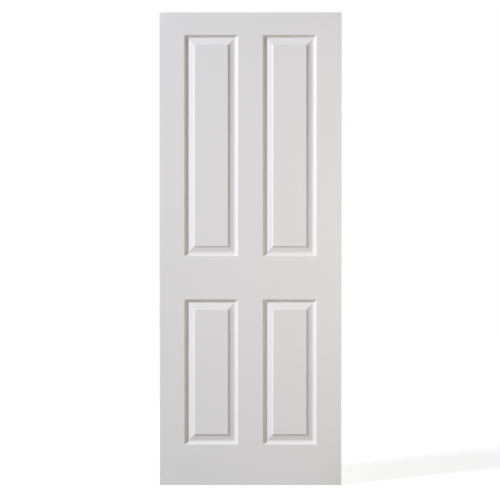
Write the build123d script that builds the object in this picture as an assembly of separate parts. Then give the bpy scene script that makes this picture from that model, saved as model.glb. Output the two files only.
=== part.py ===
from build123d import *
import os
from math import ceil, radians, sqrt, tan

# Interior door leaf: two pressed fibreboard skins with four moulded panels each, glued over
# a softwood frame with a paper honeycomb core between them.
# Millimetres. X runs across the width, the front face looks along -Y, and +Z is up.
# The origin is the centre of the bottom edge.

# Leaf
leaf_width = 762.0
leaf_height = 1981.0
leaf_thickness = 35.0
skin_thickness = 3.2
arris_radius = 0.8

# Plain face left round the four panel outlines
stile_face = 102.0
mullion_face = 100.0
top_rail_face = 91.0
lock_rail_face = 176.0
bottom_rail_face = 168.0
lower_panel_height = 614.0

# Section of the moulding round a panel, from its outline inward
# The two bends that bulge out of the face are sized by their radius inside the leaf
lip_bend = 3.8
slope_angle = 62.0
slope_depth = 9.6
groove_floor_width = 9.0
groove_floor_angle = 11.0
bevel_width = 23.0
bevel_angle = 15.7
step_angle = 55.0
step_top_bend = 0.8
crease_radius = 1.0
field_depth = 0.4
section_land = 2.0

# Softwood frame between the skins
stile_width = 35.0
top_rail_height = 35.0
bottom_rail_height = 60.0
vent_diameter = 6.0
vents_per_rail = 2

# Lock blocks, one behind each stile face
lock_block_height = 400.0
lock_block_centre = 990.0
lock_block_clearance = 3.0

# Staples across the frame's corner joints, from both faces
staple_crown = 25.0
staple_leg = 12.0
staple_wire = 1.5
staples_per_joint = 2

# Honeycomb core
cell_across_flats = 140.0
paper_thickness = 0.8
core_clearance = 1.5

# Derived sizes
frame_thickness = leaf_thickness - 2 * skin_thickness
frame_inner_width = leaf_width - 2 * stile_width
frame_inner_height = leaf_height - bottom_rail_height - top_rail_height
frame_inner_centre = bottom_rail_height + frame_inner_height / 2
panel_width = (leaf_width - 2 * stile_face - mullion_face) / 2
upper_panel_base = bottom_rail_face + lower_panel_height + lock_rail_face
upper_panel_height = leaf_height - upper_panel_base - top_rail_face
panel_centre_x = (mullion_face + panel_width) / 2
lock_block_width = stile_face - stile_width - lock_block_clearance

# The moulding's section is drawn through these corners, which the radii then round off
lip_radius = lip_bend + skin_thickness
step_top_radius = step_top_bend + skin_thickness
groove_depth = slope_depth + groove_floor_width * tan(radians(groove_floor_angle))
step_foot_depth = groove_depth - bevel_width * tan(radians(bevel_angle))
step_rise = step_foot_depth - field_depth
lip_corner = lip_radius * tan(radians(slope_angle / 2))
slope_foot = lip_corner + slope_depth / tan(radians(slope_angle))
bevel_foot = slope_foot + groove_floor_width
step_foot = bevel_foot + bevel_width
step_corner = step_foot + step_rise / tan(radians(step_angle))
moulding_width = step_corner + step_top_radius * tan(radians(step_angle / 2))

# Looks at the front face from outside, with local z out of the leaf
front_plane = Plane.XZ.offset(leaf_thickness / 2)


def panels():
    """Place, outline width and outline height of each panel on the front face."""
    rows = [
        (bottom_rail_face, lower_panel_height),
        (upper_panel_base, upper_panel_height),
    ]
    return [
        (Pos(side * panel_centre_x, base + height / 2), panel_width, height)
        for base, height in rows
        for side in (-1, 1)
    ]


def sheet_opening(width, height):
    """Where the flat sheet stops and a panel's moulded ring begins."""
    return Rectangle(width + 2 * section_land, height + 2 * section_land)


def panel_field(width, height):
    """The flat middle of a panel, inside its moulded ring."""
    inset = moulding_width + section_land
    return Rectangle(width - 2 * inset, height - 2 * inset)


def moulding_section():
    """The pressed sheet's section: x inward from the outline, y out of the face."""
    face_line = FilletPolyline(
        (-section_land, 0),
        (lip_corner, 0),
        (slope_foot, -slope_depth),
        (bevel_foot, -groove_depth),
        (step_foot, -step_foot_depth),
        (step_corner, -field_depth),
        (moulding_width + section_land, -field_depth),
        radius=[lip_radius, crease_radius, crease_radius, crease_radius, step_top_radius],
    )
    return make_face(offset(face_line, amount=skin_thickness, side=Side.RIGHT))


def moulded_ring(width, height):
    """The section carried round one outline, mitred at its corners."""
    left, right = -width / 2, width / 2
    bottom, top = -height / 2, height / 2
    path = Polyline((left, top), (left, bottom), (right, bottom), (right, top), close=True)
    start = Plane(origin=(left, top, 0), x_dir=(1, 0, 0), z_dir=(0, -1, 0))
    return sweep(start * moulding_section(), path=path, transition=Transition.RIGHT)


def front_skin():
    """One sheet: flat face, four moulded rings and the four fields inside them."""
    blank = extrude(Pos(0, leaf_height / 2) * Rectangle(leaf_width, leaf_height), -skin_thickness)
    outer_edges = blank.faces().sort_by(Axis.Z)[-1].edges()
    skin = fillet(outer_edges, arris_radius)
    for place, width, height in panels():
        skin -= place * extrude(sheet_opening(width, height), -skin_thickness)
        skin += place * moulded_ring(width, height)
        field = extrude(panel_field(width, height), -skin_thickness)
        skin += place * Pos(0, 0, -field_depth) * field
    return front_plane * skin


def staple():
    """Wide-crown staple: crown along X with its outer side at y = 0, legs along +Y."""
    centred = (Align.CENTER, Align.MIN)
    outline = Rectangle(staple_crown, staple_leg, align=centred)
    inside_width = staple_crown - 2 * staple_wire
    inside = Rectangle(inside_width, staple_leg - staple_wire, align=centred)
    bent_wire = outline - Pos(0, staple_wire) * inside
    tips = bent_wire.vertices().group_by(Axis.Y)[-1].sort_by(Axis.X)
    pointed = chamfer([tips[0], tips[-1]], staple_wire / 2)
    return extrude(pointed, staple_wire / 2, both=True)


def corner_staples():
    """Staples over the four joints of the frame, the rear ones between the front ones."""
    joints = [
        (bottom_rail_height / 2, bottom_rail_height),
        (leaf_height - top_rail_height / 2, top_rail_height),
    ]
    front_seat = -frame_thickness / 2
    staples = []
    for middle, rail_height in joints:
        spacing = rail_height / staples_per_joint
        stagger = spacing / 4
        for place in GridLocations(frame_inner_width, spacing, 2, staples_per_joint):
            x, z = place.position.X, middle + place.position.Y
            staples.append(Pos(x, front_seat, z - stagger) * staple())
            staples.append(mirror(Pos(x, front_seat, z + stagger) * staple(), about=Plane.XZ))
    return Compound(children=staples)


def upright_box(width, height):
    """Frame timber that stands on z = 0 and reaches from skin to skin."""
    return Box(width, frame_thickness, height, align=(Align.CENTER, Align.CENTER, Align.MIN))


def stile(side):
    """Full-height edge timber, on the left for side -1 and the right for side 1."""
    middle = (leaf_width - stile_width) / 2
    return Pos(side * middle, 0, 0) * upright_box(stile_width, leaf_height)


def rail(base, height):
    """Timber between the stiles, drilled upright so that the core can breathe."""
    centred = (Align.CENTER, Align.CENTER, Align.MIN)
    vent = Cylinder(vent_diameter / 2, height, align=centred)
    vents = GridLocations(frame_inner_width / vents_per_rail, 0, vents_per_rail, 1) * vent
    return Pos(0, 0, base) * (upright_box(frame_inner_width, height) - vents)


def lock_block(side):
    """Solid timber against the stile, as wide as the plain stile face allows."""
    middle = leaf_width / 2 - stile_width - lock_block_width / 2
    base = lock_block_centre - lock_block_height / 2
    return Pos(side * middle, 0, base) * upright_box(lock_block_width, lock_block_height)


def core_outline():
    """The core's shape on the front face: the frame's inside less the lock blocks."""
    margin = 2 * core_clearance
    inside = Rectangle(frame_inner_width - margin, frame_inner_height - margin)
    notch = Rectangle(2 * lock_block_width + margin, lock_block_height + margin)
    notches = [Pos(side * frame_inner_width / 2, lock_block_centre) * notch for side in (-1, 1)]
    return Pos(0, frame_inner_centre) * inside - notches


def core_relief():
    """What the front skin's mouldings and fields press away from the core."""
    relief = []
    for place, width, height in panels():
        field = panel_field(width, height)
        ring = sheet_opening(width, height) - field
        relief.append(front_plane * place * extrude(ring, -skin_thickness - groove_depth))
        relief.append(front_plane * place * extrude(field, -skin_thickness - field_depth))
    return relief


def honeycomb_core():
    """Open paper cells from skin to skin, pressed thin behind every moulding."""
    cell = RegularPolygon((cell_across_flats - paper_thickness) / 2, 6, major_radius=False)
    columns = 2 * ceil(frame_inner_width / (cell_across_flats * sqrt(3))) + 1
    rows = ceil(frame_inner_height / cell_across_flats) + 1
    grid = HexLocations(cell_across_flats / 2, columns, rows)
    cells = [Pos(0, frame_inner_centre) * place * cell for place in grid]
    walls = core_outline() - cells
    core = front_plane * Pos(0, 0, -skin_thickness) * extrude(walls, -frame_thickness)
    relief = core_relief()
    core -= relief + [mirror(pressed, about=Plane.XZ) for pressed in relief]
    return core.solids().sort_by(SortBy.VOLUME)[-1]


def pieces():
    """Every separate piece by name, in place."""
    skin = front_skin()
    staples = corner_staples()
    return {
        "front_skin": skin,
        "rear_skin": mirror(skin, about=Plane.XZ),
        "left_stile": stile(-1) - staples,
        "right_stile": stile(1) - staples,
        "top_rail": rail(leaf_height - top_rail_height, top_rail_height) - staples,
        "bottom_rail": rail(0, bottom_rail_height) - staples,
        "left_lock_block": lock_block(-1),
        "right_lock_block": lock_block(1),
        "honeycomb_core": honeycomb_core(),
        "corner_staples": staples,
    }


os.makedirs("parts", exist_ok=True)
for name, piece in pieces().items():
    export_step(piece, f"parts/{name}.step")
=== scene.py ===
from math import cos, pi, radians, sin, tan

import bmesh
import bpy
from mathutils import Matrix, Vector


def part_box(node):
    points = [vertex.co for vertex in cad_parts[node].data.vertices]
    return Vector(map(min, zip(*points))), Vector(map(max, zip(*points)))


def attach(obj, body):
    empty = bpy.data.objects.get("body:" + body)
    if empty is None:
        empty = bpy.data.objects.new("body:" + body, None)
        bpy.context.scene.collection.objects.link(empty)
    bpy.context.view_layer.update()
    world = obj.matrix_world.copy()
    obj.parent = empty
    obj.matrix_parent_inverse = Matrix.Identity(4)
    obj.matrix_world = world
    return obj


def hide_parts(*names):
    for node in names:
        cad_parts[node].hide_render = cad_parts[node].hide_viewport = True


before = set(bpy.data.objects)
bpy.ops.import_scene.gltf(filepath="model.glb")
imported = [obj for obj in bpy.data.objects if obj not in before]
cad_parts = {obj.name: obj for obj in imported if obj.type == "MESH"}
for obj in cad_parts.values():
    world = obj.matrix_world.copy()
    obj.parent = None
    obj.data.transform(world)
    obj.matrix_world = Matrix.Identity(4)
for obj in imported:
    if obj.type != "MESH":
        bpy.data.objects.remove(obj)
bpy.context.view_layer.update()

# White moulded interior door leaf. Metres, X across, the front face toward -Y, Z up.

# Leaf: its outer sizes come from the frame
skin_low, skin_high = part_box("front_skin")
LEAF_WIDTH = skin_high[0] - skin_low[0]
LEAF_HEIGHT = skin_high[2] - skin_low[2]
HALF_THICKNESS = -skin_low[1]
SKIN_THICKNESS = 0.0032
ARRIS_RADIUS = 0.0008

# Plain face left round the panel outlines
STILE_FACE = 0.102
MULLION_FACE = 0.1
TOP_RAIL_FACE = 0.091
LOCK_RAIL_FACE = 0.176
BOTTOM_RAIL_FACE = 0.168
LOWER_PANEL_HEIGHT = 0.614

# Section of the moulding round a panel, from its outline inward
LIP_RADIUS = 0.007
SLOPE_ANGLE = radians(62)
SLOPE_DEPTH = 0.0096
GROOVE_FLOOR_WIDTH = 0.009
GROOVE_FLOOR_ANGLE = radians(11)
BEVEL_WIDTH = 0.023
BEVEL_ANGLE = radians(15.7)
STEP_ANGLE = radians(55)
STEP_TOP_RADIUS = 0.004
CREASE_RADIUS = 0.001
FIELD_DEPTH = 0.0004
SECTION_LAND = 0.002

# Meshes
ARC_STEPS = 10
MERGE_DISTANCE = 1e-6
SHARP_ANGLE = radians(9.5)

# The sheet imitates boards. Each has a number, and its grain is moved by that many shifts
BOARD_SHIFT = (1.37, 2.11)
FIRST_RAIL_BOARD = 6
RIM_BOARD = 12
FIRST_PANEL_BOARD = 20
BOARDS_PER_PANEL = 5

# Camera: the leaf fills the frame as in the photograph, seen from a little above its middle
FRAME_PIXELS = 500
METRES_PER_PIXEL = 0.00419
LEAF_CENTRE_PIXEL = (250.5, 249.1)
CAMERA_DISTANCE = 6.0
CAMERA_TILT = radians(0.5)
SENSOR_WIDTH = 36

# Floor: what the camera sees of it glows toward white, less near the leaf, where a shadow falls
FLOOR_REACH = 14
FLOOR_TONE = 0.3
FLOOR_GLOW_LEVELS = (0.84, 1.0)
FLOOR_GLOW_RISE = (1.2, 4.5)

# Light: the surroundings give hardly any, and the lamps have these tints
AIR_LIGHT = 0.001
COOL = (0.988, 1.003, 1.045)
WARM = (1.0, 0.93, 0.81)
NEUTRAL = (1.0, 1.0, 1.0)


class Nodes:
    """The node tree of a material or world, with short calls to add and link nodes."""

    def __init__(self, owner):
        self.owner = owner
        owner.use_nodes = True
        self.tree = owner.node_tree
        self.tree.nodes.clear()

    def add(self, kind, inputs=None, **settings):
        """A new node. An input is given as a value, or as a socket to link to it."""
        node = self.tree.nodes.new("ShaderNode" + kind)
        for key, value in settings.items():
            setattr(node, key, value)
        for key, value in (inputs or {}).items():
            target = node.inputs[key]
            if isinstance(value, bpy.types.NodeSocket):
                self.tree.links.new(value, target)
            else:
                target.default_value = value
        return node

    def math(self, operation, *values):
        return self.add("Math", dict(enumerate(values)), operation=operation).outputs[0]

    def weighted_sum(self, first, first_weight, second, second_weight):
        first_part = self.math("MULTIPLY", first, first_weight)
        second_part = self.math("MULTIPLY", second, second_weight)
        return self.math("ADD", first_part, second_part)

    def noise(self, vector, scale, detail=3.0, roughness=0.55):
        """The scale is one number, or three for a pattern that is drawn out along an axis."""
        if isinstance(scale, tuple):
            vector = self.add("Mapping", {"Vector": vector, "Scale": scale}).outputs["Vector"]
            scale = 1.0
        inputs = {"Vector": vector, "Scale": scale, "Detail": detail, "Roughness": roughness}
        return self.add("TexNoise", inputs).outputs["Fac"]

    def remap(self, value, from_range, to_range):
        inputs = {
            "Value": value,
            "From Min": from_range[0],
            "From Max": from_range[1],
            "To Min": to_range[0],
            "To Max": to_range[1],
        }
        return self.add("MapRange", inputs).outputs["Result"]

    def mix_colour(self, factor, first, second):
        """The factor, the two colours and the result are sockets 0, 6, 7 and 2 of the node."""
        return self.add("Mix", {0: factor, 6: first, 7: second}, data_type="RGBA").outputs[2]

    def bump(self, height, distance):
        return self.add("Bump", {"Height": height, "Distance": distance}).outputs["Normal"]

    def principled(self, **inputs):
        """Closes a material with its surface. An underscore in a key stands for a space."""
        named = {key.replace("_", " "): value for key, value in inputs.items()}
        shader = self.add("BsdfPrincipled", named)
        self.add("OutputMaterial", {"Surface": shader.outputs[0]})
        return self.owner


def grey(value):
    """An opaque colour without hue."""
    return (value, value, value, 1)


def primed_paint():
    """White primer over an embossed wood grain that follows each stile, rail and moulding."""
    raised = (0.803, 0.798, 0.808, 1)
    sunken = (0.789, 0.783, 0.793, 1)
    clouded = (0.796, 0.791, 0.796, 1)
    grain_wander = 0.03
    n = Nodes(bpy.data.materials.new("primed_paint"))
    grain_uv = n.add("UVMap", uv_map="grain").outputs["UV"]

    # The grain runs along the map's second axis and wanders a little to its sides
    wander = n.noise(grain_uv, scale=(7, 1.1, 1), detail=2)
    shift = n.math("MULTIPLY", n.math("SUBTRACT", wander, 0.5), grain_wander)
    parts = n.add("SeparateXYZ", {"Vector": grain_uv}).outputs
    across = n.math("ADD", parts[0], shift)
    wandering = n.add("CombineXYZ", {"X": across, "Y": parts[1]}).outputs[0]

    # Broad figure, short pores that gather in it, and fine fibres
    figure = n.noise(wandering, scale=(95, 2.2, 1), detail=3)
    pores = n.noise(wandering, scale=(900, 22, 1), detail=2, roughness=0.6)
    fibres = n.noise(wandering, scale=(2300, 70, 1), detail=2)
    pits = n.remap(pores, (0.5, 0.68), (0, 1))
    density = n.remap(figure, (0.38, 0.62), (0.25, 1))
    carved = n.math("MULTIPLY", pits, density)
    height = n.weighted_sum(carved, -1, fibres, 0.35)
    tone = n.weighted_sum(carved, 0.5, figure, 0.5)

    cloud = n.noise(grain_uv, scale=4.0, detail=3)
    cloud_share = n.remap(cloud, (0.35, 0.65), (0, 0.3))
    colour = n.mix_colour(cloud_share, n.mix_colour(tone, raised, sunken), clouded)
    wear = n.math("ADD", tone, n.math("MULTIPLY", cloud, 0.5))
    roughness = n.remap(wear, (0.3, 1.1), (0.62, 0.76))
    return n.principled(
        Base_Color=colour,
        Roughness=roughness,
        Normal=n.bump(height, distance=0.00006),
        Specular_IOR_Level=0.2,
    )


def raw_fibreboard():
    """Bare brown edge and back of the pressed sheet, with its dense fine fibre."""
    dark = (0.23, 0.13, 0.07, 1)
    pale = (0.42, 0.27, 0.155, 1)
    n = Nodes(bpy.data.materials.new("raw_fibreboard"))
    place = n.add("TexCoord").outputs["Object"]
    flecks = n.noise(place, scale=1400, detail=4, roughness=0.7)
    layers = n.noise(place, scale=(60, 1800, 60), detail=3)
    tone = n.weighted_sum(flecks, 0.6, layers, 0.4)
    colour = n.mix_colour(n.remap(tone, (0.35, 0.65), (0, 1)), dark, pale)
    roughness = n.remap(tone, (0.3, 0.7), (0.75, 0.92))
    normal = n.bump(tone, distance=0.00015)
    return n.principled(Base_Color=colour, Roughness=roughness, Normal=normal)


def softwood(name, along):
    """Finger-jointed pine. along is the index of the axis that the grain follows."""
    finger_pitch = 0.0045
    finger_length = 0.011
    stave_length = 0.43
    heart_spread = (0.09, 0.06)
    heart_depth = 0.02
    ring_spacing = 0.0042
    ring_warp = 0.012
    warp_stretch = 0.12
    fibre_stretch = 0.02
    early_wood = [(0.72, 0.52, 0.31, 1), (0.62, 0.42, 0.23, 1)]
    late_wood = [(0.47, 0.26, 0.105, 1), (0.42, 0.235, 0.1, 1)]
    cut_end = (0.33, 0.2, 0.1, 1)
    n = Nodes(bpy.data.materials.new(name))
    place = n.add("TexCoord").outputs
    parts = n.add("SeparateXYZ", {"Vector": place["Object"]}).outputs
    length, width, depth = parts[along], parts[2 - along], parts[1]

    # Staves that meet in a zigzag, each cut from another tree
    zigzag = n.math("PINGPONG", n.math("ADD", depth, 1), finger_pitch)
    teeth = n.math("MULTIPLY", zigzag, finger_length / finger_pitch)
    stave = n.math("FLOOR", n.math("DIVIDE", n.math("ADD", length, teeth), stave_length))
    random = n.add("TexWhiteNoise", {"W": stave}, noise_dimensions="1D").outputs
    heart = n.add("SeparateXYZ", {"Vector": random["Color"]}).outputs

    # Growth rings round the stave's own heart, dark toward the outside of each ring
    heart_x = n.math("MULTIPLY", heart[0], heart_spread[0])
    heart_y = n.math("ADD", n.math("MULTIPLY", heart[1], heart_spread[1]), heart_depth)
    ring_x = n.math("ADD", width, heart_x)
    ring_y = n.math("ADD", depth, heart_y)
    slow_length = n.math("MULTIPLY", length, warp_stretch)
    slow = n.add("CombineXYZ", {"X": width, "Y": depth, "Z": slow_length}).outputs[0]
    warp = n.math("MULTIPLY", n.noise(slow, scale=24, detail=3), ring_warp)
    square = n.math("ADD", n.math("POWER", ring_x, 2), n.math("POWER", ring_y, 2))
    radius = n.math("ADD", n.math("SQRT", square), warp)
    ring = n.math("FRACT", n.math("DIVIDE", radius, ring_spacing))
    late = n.math("POWER", ring, 3)
    fine_length = n.math("MULTIPLY", length, fibre_stretch)
    fine = n.add("CombineXYZ", {"X": width, "Y": depth, "Z": fine_length}).outputs[0]
    fibre = n.noise(fine, scale=1500, detail=3)
    tone = n.weighted_sum(late, 0.7, fibre, 0.3)

    pale = n.mix_colour(random["Value"], *early_wood)
    dark = n.mix_colour(random["Value"], *late_wood)
    facing = n.add("SeparateXYZ", {"Vector": place["Normal"]}).outputs
    end_grain = n.math("MULTIPLY", n.math("ABSOLUTE", facing[along]), 0.45)
    colour = n.mix_colour(end_grain, n.mix_colour(tone, pale, dark), cut_end)
    roughness = n.remap(tone, (0, 1), (0.72, 0.55))
    normal = n.bump(tone, distance=0.00012)
    return n.principled(Base_Color=colour, Roughness=roughness, Normal=normal)


def kraft_paper():
    """Brown paper of the core, fibrous and a little cloudy."""
    dark = (0.4, 0.26, 0.145, 1)
    pale = (0.56, 0.4, 0.25, 1)
    n = Nodes(bpy.data.materials.new("kraft_paper"))
    place = n.add("TexCoord").outputs["Object"]
    fibre = n.noise(place, scale=(700, 250, 700), detail=4, roughness=0.7)
    cloud = n.noise(place, scale=30, detail=3)
    tone = n.weighted_sum(fibre, 0.6, cloud, 0.4)
    colour = n.mix_colour(n.remap(tone, (0.35, 0.65), (0, 1)), dark, pale)
    normal = n.bump(fibre, distance=0.0001)
    return n.principled(Base_Color=colour, Roughness=0.88, Normal=normal)


def staple_steel():
    """Drawn wire, bright in places and dulled in others."""
    bright = (0.62, 0.62, 0.63, 1)
    dulled = (0.46, 0.46, 0.48, 1)
    n = Nodes(bpy.data.materials.new("staple_steel"))
    place = n.add("TexCoord").outputs["Object"]
    drawn = n.noise(place, scale=(200, 200, 5000), detail=3)
    patina = n.noise(place, scale=600, detail=3)
    colour = n.mix_colour(patina, bright, dulled)
    roughness = n.remap(patina, (0.3, 0.7), (0.28, 0.48))
    normal = n.bump(drawn, distance=0.00002)
    return n.principled(Base_Color=colour, Metallic=1.0, Roughness=roughness, Normal=normal)


def section_line():
    """The moulding's face line as (point, outward normal) pairs: x inward, y out of the face."""
    lip = LIP_RADIUS * tan(SLOPE_ANGLE / 2)
    slope_foot = lip + SLOPE_DEPTH / tan(SLOPE_ANGLE)
    groove_depth = SLOPE_DEPTH + GROOVE_FLOOR_WIDTH * tan(GROOVE_FLOOR_ANGLE)
    bevel_foot = slope_foot + GROOVE_FLOOR_WIDTH
    step_foot_depth = groove_depth - BEVEL_WIDTH * tan(BEVEL_ANGLE)
    step_foot = bevel_foot + BEVEL_WIDTH
    step = step_foot + (step_foot_depth - FIELD_DEPTH) / tan(STEP_ANGLE)
    width = step + STEP_TOP_RADIUS * tan(STEP_ANGLE / 2)
    corners = [
        Vector((-SECTION_LAND, 0)),
        Vector((lip, 0)),
        Vector((slope_foot, -SLOPE_DEPTH)),
        Vector((bevel_foot, -groove_depth)),
        Vector((step_foot, -step_foot_depth)),
        Vector((step, -FIELD_DEPTH)),
        Vector((width + SECTION_LAND, -FIELD_DEPTH)),
    ]
    radii = [LIP_RADIUS, CREASE_RADIUS, CREASE_RADIUS, CREASE_RADIUS, STEP_TOP_RADIUS]
    line = [(corners[0], Vector((0, 1)))]
    for before, corner, after, radius in zip(corners, corners[1:], corners[2:], radii):
        line += rounded_corner(before, corner, after, radius)
    line.append((corners[-1], Vector((0, 1))))
    return line


def rounded_corner(before, corner, after, radius):
    """Points and normals along the arc that rounds one corner of a line."""
    heading = (corner - before).normalized()
    turn = (after - corner).normalized().angle_signed(heading)
    side = 1 if turn > 0 else -1
    start = corner - heading * radius * tan(abs(turn) / 2)
    normal = Vector((-heading.y, heading.x))
    centre = start + normal * radius * side
    arc = []
    for index in range(ARC_STEPS + 1):
        angle = turn * index / ARC_STEPS
        turned = Vector((
            normal.x * cos(angle) - normal.y * sin(angle),
            normal.x * sin(angle) + normal.y * cos(angle),
        ))
        arc.append((centre - turned * radius * side, turned))
    return arc


def panel_outlines():
    """(left, right, bottom, top) of the moulded outlines."""
    centre_gap = MULLION_FACE / 2
    outer = LEAF_WIDTH / 2 - STILE_FACE
    lock_rail_base = BOTTOM_RAIL_FACE + LOWER_PANEL_HEIGHT
    rows = [
        (BOTTOM_RAIL_FACE, lock_rail_base),
        (lock_rail_base + LOCK_RAIL_FACE, LEAF_HEIGHT - TOP_RAIL_FACE),
    ]
    columns = [(-outer, -centre_gap), (centre_gap, outer)]
    return [(*column, *row) for row in rows for column in columns]


class Sheet:
    """Collects the faces of one pressed skin, with the grain's direction in a UV map.

    facing is -1 for the skin in front and 1 for the one behind.
    """

    def __init__(self, facing):
        self.facing = facing
        self.mesh = bmesh.new()
        self.grain = self.mesh.loops.layers.uv.new("grain")

    def face(self, corners, upright, board, bare=False):
        """Corners are (x, z, out of the face), and upright says which way the grain runs."""
        verts = [
            self.mesh.verts.new((x, self.facing * (HALF_THICKNESS + out), z))
            for x, z, out in corners
        ]
        made = self.mesh.faces.new(verts)
        made.material_index = 1 if bare else 0
        made.smooth = True
        shift_across, shift_along = (board * step for step in BOARD_SHIFT)
        for loop, (x, z, out) in zip(made.loops, corners):
            across, along = (x, z) if upright else (z, x)
            loop[self.grain].uv = (across + shift_across, along + shift_along)


def inset_corners(outline, inset, depth):
    """The four corners of an outline drawn in by the inset, from the bottom left."""
    left, right, bottom, top = outline
    return [
        (left + inset, bottom + inset, depth),
        (right - inset, bottom + inset, depth),
        (right - inset, top - inset, depth),
        (left + inset, top - inset, depth),
    ]


def ring(sheet, outline, line, board, bare=False):
    """A moulded ring: one strip of faces for each step of the section, mitred at the corners."""
    for first, second in zip(line, line[1:]):
        outer = inset_corners(outline, *first)
        inner = inset_corners(outline, *second)
        for side in range(4):
            after = (side + 1) % 4
            corners = [outer[side], outer[after], inner[after], inner[side]]
            sheet.face(corners, side % 2 == 1, board + side, bare)


def flat_sheet(sheet, outlines, depth, inset, bare=False):
    """The flat part as a grid of boards: upright stiles and mullion, level rails between."""
    stile_columns = (0, 4)
    panel_bands = (1, 3)
    half = LEAF_WIDTH / 2
    xs = [-half + inset, half - inset]
    zs = [inset, LEAF_HEIGHT - inset]
    for left, right, bottom, top in outlines:
        xs += [left - SECTION_LAND, right + SECTION_LAND]
        zs += [bottom - SECTION_LAND, top + SECTION_LAND]
    xs, zs = sorted(set(xs)), sorted(set(zs))
    for column, (x0, x1) in enumerate(zip(xs, xs[1:])):
        for row, (z0, z1) in enumerate(zip(zs, zs[1:])):
            if column in panel_bands and row in panel_bands:
                continue
            stile = column in stile_columns
            upright = stile or row in panel_bands
            board = column if stile else FIRST_RAIL_BOARD + row
            sheet.face(inset_corners((x0, x1, z0, z1), 0, depth), upright, board, bare)


def rim(sheet):
    """The rounded arris and the bare cut edge all round the sheet."""
    arc = []
    for index in range(ARC_STEPS + 1):
        angle = pi / 2 * index / ARC_STEPS
        arc.append((ARRIS_RADIUS * (1 - sin(angle)), ARRIS_RADIUS * (cos(angle) - 1)))
    outline = (-LEAF_WIDTH / 2, LEAF_WIDTH / 2, 0, LEAF_HEIGHT)
    ring(sheet, outline, arc, RIM_BOARD)
    ring(sheet, outline, [arc[-1], (0, -SKIN_THICKNESS)], RIM_BOARD, bare=True)


def pressed_skin(name, facing, materials):
    """A skin of one thickness whose back follows its moulded face."""
    sheet = Sheet(facing)
    outlines = panel_outlines()
    line = section_line()
    face_line = [tuple(point) for point, normal in line]
    back_line = [tuple(point - normal * SKIN_THICKNESS) for point, normal in line]
    for number, outline in enumerate(outlines):
        board = FIRST_PANEL_BOARD + BOARDS_PER_PANEL * number
        field_board = board + BOARDS_PER_PANEL - 1
        ring(sheet, outline, face_line, board)
        ring(sheet, outline, back_line, board, bare=True)
        sheet.face(inset_corners(outline, *face_line[-1]), True, field_board)
        sheet.face(inset_corners(outline, *back_line[-1]), True, field_board, bare=True)
    flat_sheet(sheet, outlines, 0, ARRIS_RADIUS)
    flat_sheet(sheet, outlines, -SKIN_THICKNESS, 0, bare=True)
    rim(sheet)
    bmesh.ops.remove_doubles(sheet.mesh, verts=sheet.mesh.verts, dist=MERGE_DISTANCE)
    bmesh.ops.recalc_face_normals(sheet.mesh, faces=sheet.mesh.faces)
    mesh = bpy.data.meshes.new(name)
    sheet.mesh.to_mesh(mesh)
    sheet.mesh.free()
    mesh.set_sharp_from_angle(angle=SHARP_ANGLE)
    for material in materials:
        mesh.materials.append(material)
    piece = bpy.data.objects.new(name, mesh)
    bpy.context.scene.collection.objects.link(piece)
    return piece


def dress_skins():
    """Both skins as finer meshes of the same form, painted outside and bare inside."""
    materials = [primed_paint(), raw_fibreboard()]
    for name, facing, node in (
        ("front_face", -1, "front_skin"),
        ("rear_face", 1, "rear_skin"),
    ):
        piece = pressed_skin(name, facing, materials)
        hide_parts(node)
        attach(piece, "root")


def paint_node(node, material):
    """Puts a material on a piece that keeps its solid's own mesh."""
    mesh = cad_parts[node].data
    mesh.materials.clear()
    mesh.materials.append(material)


def dress_frame():
    """Materials of the timber, the core and the staples."""
    upright = softwood("upright_pine", along=2)
    level = softwood("level_pine", along=0)
    for node in ("left_stile", "right_stile", "left_lock_block", "right_lock_block"):
        paint_node(node, upright)
    for node in ("top_rail", "bottom_rail"):
        paint_node(node, level)
    paint_node("honeycomb_core", kraft_paper())
    paint_node("corner_staples", staple_steel())


def seen_directly(n):
    """1 for a ray from the camera, a mirror or glass, and 0 for one that only lights."""
    path = n.add("LightPath").outputs
    mirrored = n.math("MAXIMUM", path["Is Glossy Ray"], path["Is Transmission Ray"])
    return n.math("MAXIMUM", path["Is Camera Ray"], mirrored)


def studio_floor():
    """Grey floor that glows to near white for the camera and keeps the leaf's shadow."""
    material = bpy.data.materials.new("studio_floor")
    n = Nodes(material)
    diffuse = n.add("BsdfDiffuse", {"Color": grey(FLOOR_TONE)})
    away = n.add("VectorMath", {0: n.add("TexCoord").outputs["Object"]}, operation="LENGTH")
    level = n.remap(away.outputs["Value"], FLOOR_GLOW_RISE, FLOOR_GLOW_LEVELS)
    strength = n.math("MULTIPLY", seen_directly(n), level)
    glow = n.add("Emission", {"Color": grey(1), "Strength": strength})
    both = n.add("AddShader", {0: diffuse.outputs[0], 1: glow.outputs[0]})
    n.add("OutputMaterial", {"Surface": both.outputs[0]})
    mesh = bpy.data.meshes.new("studio_floor")
    corners = inset_corners((-FLOOR_REACH, FLOOR_REACH, -FLOOR_REACH, FLOOR_REACH), 0, 0)
    mesh.from_pydata(corners, [], [(0, 1, 2, 3)])
    mesh.materials.append(material)
    floor = bpy.data.objects.new("studio_floor", mesh)
    bpy.context.scene.collection.objects.link(floor)


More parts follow.
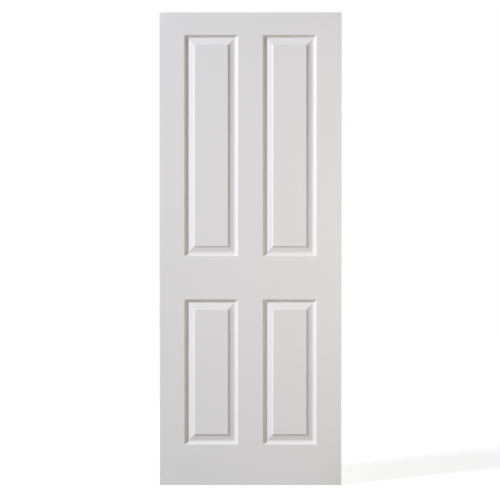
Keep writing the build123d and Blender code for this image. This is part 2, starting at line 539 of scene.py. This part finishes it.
def studio_air():
    """Surroundings that give hardly any light, but look white to a camera, mirror or glass."""
    world = bpy.data.worlds.new("studio_air")
    bpy.context.scene.world = world
    n = Nodes(world)
    strength = n.remap(seen_directly(n), (0, 1), (AIR_LIGHT, 1))
    air = n.add("Background", {"Color": grey(1), "Strength": strength})
    n.add("OutputWorld", {"Surface": air.outputs[0]})


def soft_lamp(name, bearing, distance, height, size, power, tint):
    """A square lamp aimed at the leaf. Its bearing is in degrees, from straight in front."""
    light = bpy.data.lights.new(name, "AREA")
    light.shape = "SQUARE"
    light.size = size
    light.energy = power
    light.color = tint
    lamp = bpy.data.objects.new(name, light)
    turn = radians(bearing)
    lamp.location = (distance * sin(turn), -distance * cos(turn), height)
    direction = Vector((0, 0, LEAF_HEIGHT / 2)) - lamp.location
    lamp.rotation_euler = direction.to_track_quat("-Z", "Y").to_euler()
    bpy.context.scene.collection.objects.link(lamp)


def studio_lamps():
    """A far key high on the left, a near fill on the right and one behind for the rear face."""
    soft_lamp("key", bearing=-58, distance=9.0, height=5.75, size=1.1, power=1050, tint=COOL)
    soft_lamp("fill", bearing=34, distance=2.35, height=1.05, size=0.8, power=19, tint=WARM)
    soft_lamp("rear", bearing=-150, distance=3.0, height=1.2, size=1.0, power=58, tint=NEUTRAL)


def camera():
    """Straight on, a little above the leaf's middle, with the leaf where the photo has it."""
    frame_width = FRAME_PIXELS * METRES_PER_PIXEL
    data = bpy.data.cameras.new("camera")
    data.sensor_width = SENSOR_WIDTH
    data.lens = SENSOR_WIDTH * CAMERA_DISTANCE / frame_width
    half_frame = FRAME_PIXELS / 2
    data.shift_x = (half_frame - LEAF_CENTRE_PIXEL[0]) / FRAME_PIXELS
    data.shift_y = (LEAF_CENTRE_PIXEL[1] - half_frame) / FRAME_PIXELS
    seen = bpy.data.objects.new("camera", data)
    middle = Vector((0, -HALF_THICKNESS, LEAF_HEIGHT / 2))
    back = Vector((0, -cos(CAMERA_TILT), sin(CAMERA_TILT)))
    seen.location = middle + back * CAMERA_DISTANCE
    seen.rotation_euler = (pi / 2 - CAMERA_TILT, 0, 0)
    bpy.context.scene.collection.objects.link(seen)
    bpy.context.scene.camera = seen


dress_skins()
dress_frame()
studio_floor()
studio_air()
studio_lamps()
camera()
bpy.context.scene.view_settings.view_transform = "Standard"
